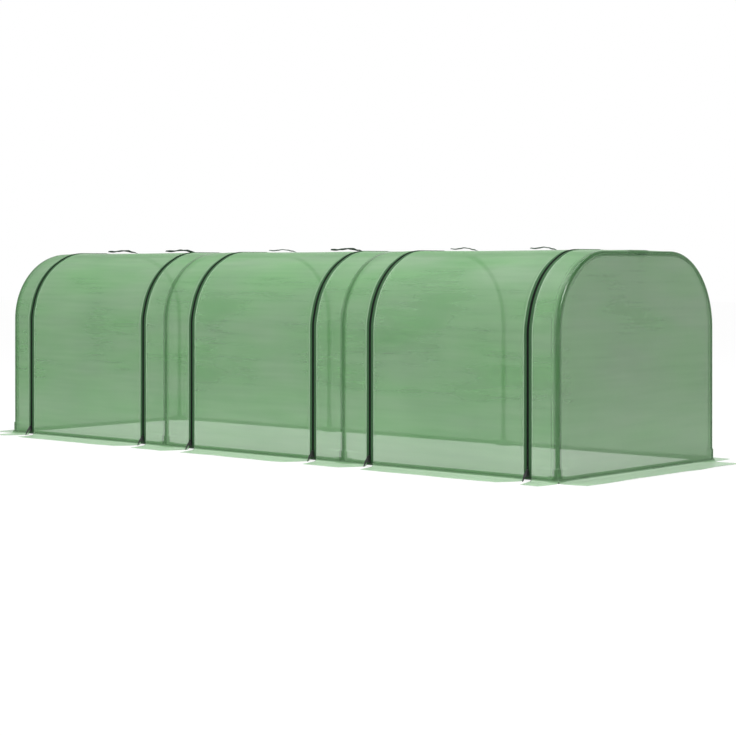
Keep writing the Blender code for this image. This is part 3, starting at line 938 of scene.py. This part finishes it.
def endPanels():
    # flat arch-shaped ends, whose outline follows the end hoop
    outline = [onBend(angle) for angle in spread(pi / 2, 0, film["gridAlong"] / bendRadius)]
    outline += [(halfWidth, up) for up in wallHeights(film["wallFoot"])]
    folds = foldRows(endPlane)
    rows = [[endPlane, up, 1.0, 0.0, 0.0] for _, up in outline] + folds
    widths = [wide for wide, _ in outline] + [halfWidth] * len(folds)
    for number, (_, up, *_) in enumerate(rows):
        widths[number] += filmOffset * (1 - smooth((up - film["foldRadius"]) / 0.002))
    places = spread(-1, 1, film["gridAcross"] / film["endHalf"])
    places = sorted(places + [way * edge for way in (-1, 1) for edge in film["endEdges"]])
    area = 2 * (bendOut * bendRadius + pi * bendRadius ** 2 / 4 + halfWidth * bendUp)
    area += 2 * film["endHalf"] * film["skirt"]
    for side, word, hoop in ((-1, "left", 1), (1, "right", len(hoopPlaces))):
        spots = [[endSpot(side, place, row, wide) for place in places] for row, wide in zip(rows, widths)]
        points, flats, paintedShadeAndTaut = [[[spot[part] for spot in line] for line in spots] for part in range(3)]
        masks = {
            "hem": [hemShare(row) for row in rows],
            "skirt": [skirtLightShare(row) for row in rows],
            "paintedShadeAndTaut": paintedShadeAndTaut,
            "across": [film["endShare"] * (1 - foldShare(row)) for row in rows],
        }
        piece = gridPiece(f"{word}EndFilm", points, flats, masks, "film", film["thickness"], (side, 0, 0))
        seam = [Vector((side * (endPlane + film["seamRise"]), wide - 0.004, up)) for wide, up in outline]
        seam = [Vector((point.x, -point.y, point.z)) for point in seam[::-1]] + seam
        hem = spread(-film["endHem"], film["endHem"], 0.05)
        hem = [Vector((side * sewnHem(endPlane), y, film["hemUp"])) for y in hem]
        stitches = stitchPiece(f"{word}EndStitches", [seam, hem])
        standsFor(piece, f"{word}_end_panel")


backCover()
frontStrips()
doorPanels()
endPanels()
print("film, zips and stitches made")


# Tubes, joints, screws and sliders

tubes = {"radius": 0.008, "bendSteps": 22, "rings": 6, "stop": 0.009}


def paintedTube(name, points, node):
    guide = curveOf(name, [points])
    guide.data.bevel_depth = tubes["radius"]
    guide.data.bevel_resolution = tubes["rings"]
    guide.data.use_fill_caps = True
    standsFor(linked(name, plainMesh(guide), "steel"), node)


def makeTubes():
    stop, base = tubes["stop"], tunnel["baseHeight"]
    for number, x in enumerate(hoopPlaces, 1):
        for side, word in ((-1, "front"), (1, "back")):
            bend = [onBend(angle) for angle in spread(0, pi / 2, pi / 2 / tubes["bendSteps"])]
            line = [(halfWidth, base + stop), *bend, (stop, ridgeHeight)]
            line = [(x, side * out, up) for out, up in line]
            paintedTube(f"hoop{number}{word.capitalize()}Tube", line, f"hoop_{number}_{word}_half")
    for bay, x in enumerate(hoopPlaces[:-1], 1):
        ends = x + stop, x + bayLength - stop
        paintedTube(f"ridgeTube{bay}", [(end, 0, ridgeHeight) for end in ends], f"ridge_rail_{bay}")
        for side, word in ((-1, "front"), (1, "back")):
            line = [(end, side * halfWidth, base) for end in ends]
            paintedTube(f"{word}BaseTube{bay}", line, f"{word}_base_rail_{bay}")
    for side, word in ((-1, "left"), (1, "right")):
        line = [(side * halfLength, way * (halfWidth - stop), base) for way in (-1, 1)]
        paintedTube(f"{word}EndBaseTube", line, f"{word}_end_base_rail")


sockets = {
    "radius": 0.0115,
    "bore": 0.0083,
    "reach": 0.036,
    "stop": 0.0087,
    "rim": 0.0009,
    "sides": 40,
    "pocket": 0.0035,
    "pocketDepth": 0.0012,
}


def turnedSolid(name, profile, direction, sides=sockets["sides"]):
    # a closed solid of revolution about a line through the origin, its profile as (along, radius)
    shape = bmesh.new()
    turn = Vector(direction).to_track_quat("Z", "Y").to_matrix()
    angles = [2 * pi * step / sides for step in range(sides)]
    rings = []
    for along, radius in profile:
        spots = [Vector((radius * cos(angle), radius * sin(angle), along)) for angle in angles]
        rings.append([shape.verts.new(turn @ spot) for spot in spots])
    for low, high in zip(rings, rings[1:]):
        for i in range(sides):
            j = (i + 1) % sides
            shape.faces.new((low[i], low[j], high[j], high[i]))
    shape.faces.new(rings[0][::-1])
    shape.faces.new(rings[-1])
    return linked(name, meshOf(name, shape), "plastic")


def carved(base, steps):
    # the base after each Boolean in turn, as a plain mesh
    for operation, other in steps:
        change = base.modifiers.new(other.name, "BOOLEAN")
        change.operation = operation
        change.solver = "EXACT"
        change.object = other
    return plainMesh(base, *[other for _, other in steps])


def placedCopy(mesh, place, turn):
    copy = mesh.copy()
    copy.transform(Matrix.Translation(place) @ Matrix.Rotation(turn, 4, "Z"))
    return copy


def socketProfile(low, high):
    # a bar with a rounded rim at each open end
    radius, rim = sockets["radius"], sockets["rim"]
    ease = rim * 0.3
    profile = [(high - rim, radius), (high - ease, radius - ease), (high, radius - rim)]
    if low < 0:
        return [(low, radius - rim), (low + ease, radius - ease), (low + rim, radius)] + profile
    return [(low, radius)] + profile


def socketJoint(bars, mouths, pockets):
    # bars are (direction, from, to), mouths the directions of the bores
    solids = [turnedSolid(f"bar{i}", socketProfile(low, high), way) for i, (way, low, high) in enumerate(bars)]
    steps = [("UNION", solid) for solid in solids[1:]]
    reach, bore, rim, pocket = [sockets[key] for key in ("reach", "bore", "rim", "pocket")]
    for way in mouths:
        profile = [(sockets["stop"], bore), (reach - rim / 2, bore), (reach + rim, bore + rim * 1.5)]
        steps.append(("DIFFERENCE", turnedSolid("bore", profile, way)))
    for way in pockets:
        profile = [(sockets["radius"] - sockets["pocketDepth"], pocket), (sockets["radius"] + rim, pocket)]
        steps.append(("DIFFERENCE", turnedSolid("pocket", profile, way)))
    return carved(solids[0], steps)


def makeJoints():
    # corners and tees at the hoops' feet, and sockets for three or four tubes at the ridge
    reach, drop = sockets["reach"], -tunnel["baseHeight"]
    east, west, north, south, up = (1, 0, 0), (-1, 0, 0), (0, 1, 0), (0, -1, 0), (0, 0, 1)
    post, along = (up, drop, reach), (north, -reach, reach)
    corner = socketJoint([post, (east, 0, reach), (north, 0, reach)], [up, east, north], [west, south])
    tee = socketJoint([post, (east, -reach, reach)], [up, east, west], [south])
    ridgeEnd = socketJoint([along, (east, 0, reach)], [north, south, east], [])
    ridgeCross = socketJoint([along, (east, -reach, reach)], [north, south, east, west], [])
    base = tunnel["baseHeight"]
    for number, x in enumerate(hoopPlaces, 1):
        # the quarter turns of the front, back and ridge joints
        foot, ridge, turns = tee, ridgeCross, (0, 2, 0)
        if x in (hoopPlaces[0], hoopPlaces[-1]):
            foot, ridge, turns = corner, ridgeEnd, (0, -1, 0) if number == 1 else (1, 2, 2)
        spots = [("front_base", foot, -halfWidth, base), ("back_base", foot, halfWidth, base)]
        spots.append(("ridge", ridge, 0, ridgeHeight))
        for (word, shape, y, z), turn in zip(spots, turns):
            mesh = softShaded(placedCopy(shape, (x, y, z), turn * pi / 2), 32)
            piece = linked(f"{word.replace('_base', 'Base')}Joint{number}", mesh, "plastic")
            standsFor(piece, f"{word}_joint_{number}")
    for shape in (corner, tee, ridgeEnd, ridgeCross):
        bpy.data.meshes.remove(shape)


screws = {
    "head": 0.003,
    "rise": 0.0011,
    "slot": 0.0006,
    "slotReach": 0.0019,
    "slotDepth": 0.55,  # of the head's rise
    "tool": 0.002,
    "seat": 0.0104,
    "sides": 20,
    # from the seat up, as shares of the rise and of the head's radius
    "profile": ((0.0, 1.0), (0.25, 1.0), (0.6, 0.93), (0.86, 0.7), (0.98, 0.35)),
}


def screwMesh():
    # a pan head with a cross recess, facing -Y from the joint's axis
    profile = [(screws["seat"] + up * screws["rise"], out * screws["head"]) for up, out in screws["profile"]]
    head = turnedSolid("screwHead", profile, (0, -1, 0), screws["sides"])
    bottom = screws["seat"] + screws["rise"] * (1 - screws["slotDepth"])
    steps = []
    for wide, tall in ((2 * screws["slotReach"], screws["slot"]), (screws["slot"], 2 * screws["slotReach"])):
        cutter = bmesh.new()
        tool = screws["tool"]
        place = Matrix.Translation((0, -bottom - tool / 2, 0)) @ Matrix.Diagonal((wide, tool, tall, 1))
        bmesh.ops.create_cube(cutter, size=1, matrix=place)
        steps.append(("DIFFERENCE", linked("slotTool", meshOf("slotTool", cutter), "plastic")))
    return carved(head, steps)


def makeScrews():
    head = screwMesh()
    shape = bmesh.new()
    for x in hoopPlaces:
        for side in (-1, 1):
            turns = [0 if side < 0 else pi]
            if x == hoopPlaces[0]:
                turns.append(-pi / 2)
            if x == hoopPlaces[-1]:
                turns.append(pi / 2)
            for turn in turns:
                copy = placedCopy(head, (x, side * halfWidth, tunnel["baseHeight"]), turn)
                shape.from_mesh(copy)
                bpy.data.meshes.remove(copy)
    mesh = softShaded(meshOf("jointScrews", shape), 35)
    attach(linked("jointScrews", mesh, "zinc"), "tunnel")


sliderEdges = {"slider": 0.0006, "pull": 0.0004}


def softened(node, name, width):
    # a merged copy of a CAD node with its edges rounded
    shape = bmesh.new()
    shape.from_mesh(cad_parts[node].data)
    bmesh.ops.remove_doubles(shape, verts=shape.verts, dist=0.00001)
    bmesh.ops.dissolve_limit(shape, angle_limit=radians(1), verts=shape.verts, edges=shape.edges)
    piece = linked(name, softShaded(meshOf(name, shape), 40), "zipMetal")
    bevel = piece.modifiers.new("roundedEdges", "BEVEL")
    bevel.width = width
    bevel.segments = 2
    bevel.limit_method = "ANGLE"
    bevel.angle_limit = radians(40)
    bevel.harden_normals = True
    standsFor(piece, node, f"{node}_body")


def makeSliders():
    for number in range(1, len(zipPlaces) + 1):
        for word, width in sliderEdges.items():
            softened(f"zip_{word}_{number}", f"zip{word.capitalize()}{number}", width)


makeTubes()
makeJoints()
makeScrews()
makeSliders()
print("tubes, joints, screws and sliders made")


# Tie ribbons

ties = {
    "rise": 0.0105,
    "clear": 0.0012,  # over the roof
    "spacing": 0.38,
    "ridgeDistance": 0.052,
    "lift": (0.0, 0.4, 0.85, 1.0, 0.75, 0.62, 0.8),
    "thickness": 0.0007,
    "flatWidth": 0.01,
    "columns": (-1, -0.5, 0, 0.5, 1),
    "steps": 64,
    "twistTurns": 1.6,
    "twistReach": 0.0032,
    "lean": 1.05,  # the strands mostly stand on edge, in radians
    # from the left tie to the right one: finish, strands, width, length, shift of its root, phase
    "each": (
        ("darkRibbon", 2, 0.0054, 0.2, 0.005, 0.4),
        ("darkRibbon", 2, 0.0056, 0.2, 0.015, 0.9),
        ("greyRibbon", 1, 0.0046, 0.16, 0.015, 0.3),
        ("darkRibbon", 2, 0.0056, 0.18, 0.01, 0.1),
        ("greyRibbon", 1, 0.0048, 0.135, -0.01, 1.2),
        ("greyRibbon", 1, 0.0052, 0.125, -0.015, 0.8),
    ),
}


def eased(shares, place):
    spot = min(place, 0.9999) * (len(shares) - 1)
    low = int(spot)
    blend = (1 - cos(pi * (spot - low))) / 2
    return shares[low] + (shares[low + 1] - shares[low]) * blend


def strandRow(share, root, width, length, reach, turn, layer):
    # the points across a strand, at a share of its length
    apart = reach * smooth(share * 6) * smooth((1 - share) * 7)
    tilt = (ties["lean"] + 0.45 * sin(turn)) * smooth(share * 5)
    across = Vector((0, cos(tilt), sin(tilt))) * width / 2
    up = filmRoof + ties["clear"] + ties["rise"] * eased(ties["lift"], share) + apart * (0.5 + cos(turn) / 2)
    middle = Vector((root - length * share, apart * sin(turn) - ties["ridgeDistance"], up + layer * 0.0006))
    return [middle + across * place for place in ties["columns"]]


def makeTies():
    # two strands wind round each other, and a single one waves a little
    shares = spread(0, 1, 1 / ties["steps"])
    for number, (finish, strands, width, length, shift, phase) in enumerate(ties["each"]):
        bay, order = divmod(number, 2)
        root = hoopPlaces[bay] + (bayLength + (2 * order - 1) * ties["spacing"]) / 2 + shift
        reach = ties["twistReach"] * (1.0 if strands == 2 else 0.25)
        for strand in range(strands):
            turns = [2 * pi * share * ties["twistTurns"] + phase + strand * pi for share in shares]
            points = [strandRow(share, root, width, length, reach, turn, strand) for share, turn in zip(shares, turns)]
            flats = [[(place * width / 2 + 0.5, length * share) for place in ties["columns"]] for share in shares]
            name = f"door{bay + 1}Tie{order + 1}Strand{strand + 1}"
            piece = gridPiece(name, points, flats, {}, finish, ties["thickness"])
            standsFor(piece, f"door_{bay + 1}_tie_{order + 1}")


makeTies()
print("tie ribbons made")
